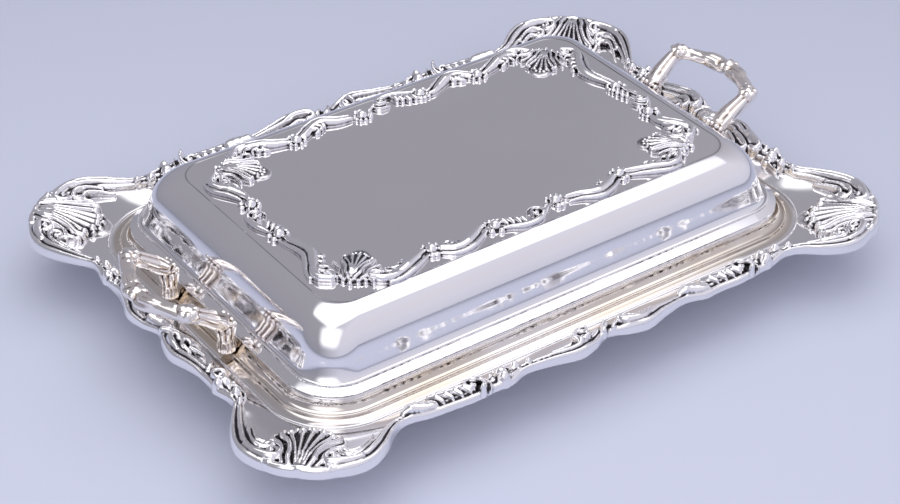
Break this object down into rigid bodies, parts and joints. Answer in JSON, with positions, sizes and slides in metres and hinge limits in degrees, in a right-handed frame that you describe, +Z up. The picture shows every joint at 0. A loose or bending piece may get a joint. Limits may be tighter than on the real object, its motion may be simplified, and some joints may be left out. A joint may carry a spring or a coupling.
{
  "type": "divided vegetable dish",
  "caption": "Oblong covered serving dish in silver plate with a serpentine scroll rim, loop handles, a lift-out divided liner and a domed cover.",
  "frame": {"origin": "on the table under the middle of the dish, at the foot rim's underside", "axes": "+X along the dish from handle to handle, +Y across it to the back, +Z up"},
  "size_m": [0.4014, 0.2972, 0.0773],
  "materials": {
    "polished_lid": "polished",
    "dish_silver": "polished",
    "liner": "satin",
    "cast_ornament": "satin",
    "handles": "satin"
  },
  "bodies": {
    "dish": {"base_dish": "dish_silver", "foot_rim": "dish_silver", "rim_mount_front": "cast_ornament", "rim_mount_back": "cast_ornament", "rim_mount_left": "cast_ornament", "rim_mount_right": "cast_ornament", "rim_corner_front_left": "cast_ornament", "rim_corner_front_right": "cast_ornament", "rim_corner_back_left": "cast_ornament", "rim_corner_back_right": "cast_ornament", "handle_left": "handles", "handle_right": "handles"},
    "liner": {"liner_pan": "liner", "liner_partition": "liner"},
    "lid": {"lid_dome": "polished_lid", "lid_bezel": "polished_lid", "lid_mount_front": "cast_ornament", "lid_mount_back": "cast_ornament", "lid_mount_left": "cast_ornament", "lid_mount_right": "cast_ornament", "lid_corner_front_left": "cast_ornament", "lid_corner_front_right": "cast_ornament", "lid_corner_back_left": "cast_ornament", "lid_corner_back_right": "cast_ornament"}
  },
  "joints": [
    {"name": "liner_lift", "type": "slide", "parent": "dish", "child": "liner", "axis": [0, 0, 1], "range_m": [0, 0.07]},
    {"name": "lid_lift", "type": "slide", "parent": "liner", "child": "lid", "axis": [0, 0, 1], "range_m": [0, 0.06]}
  ]
}
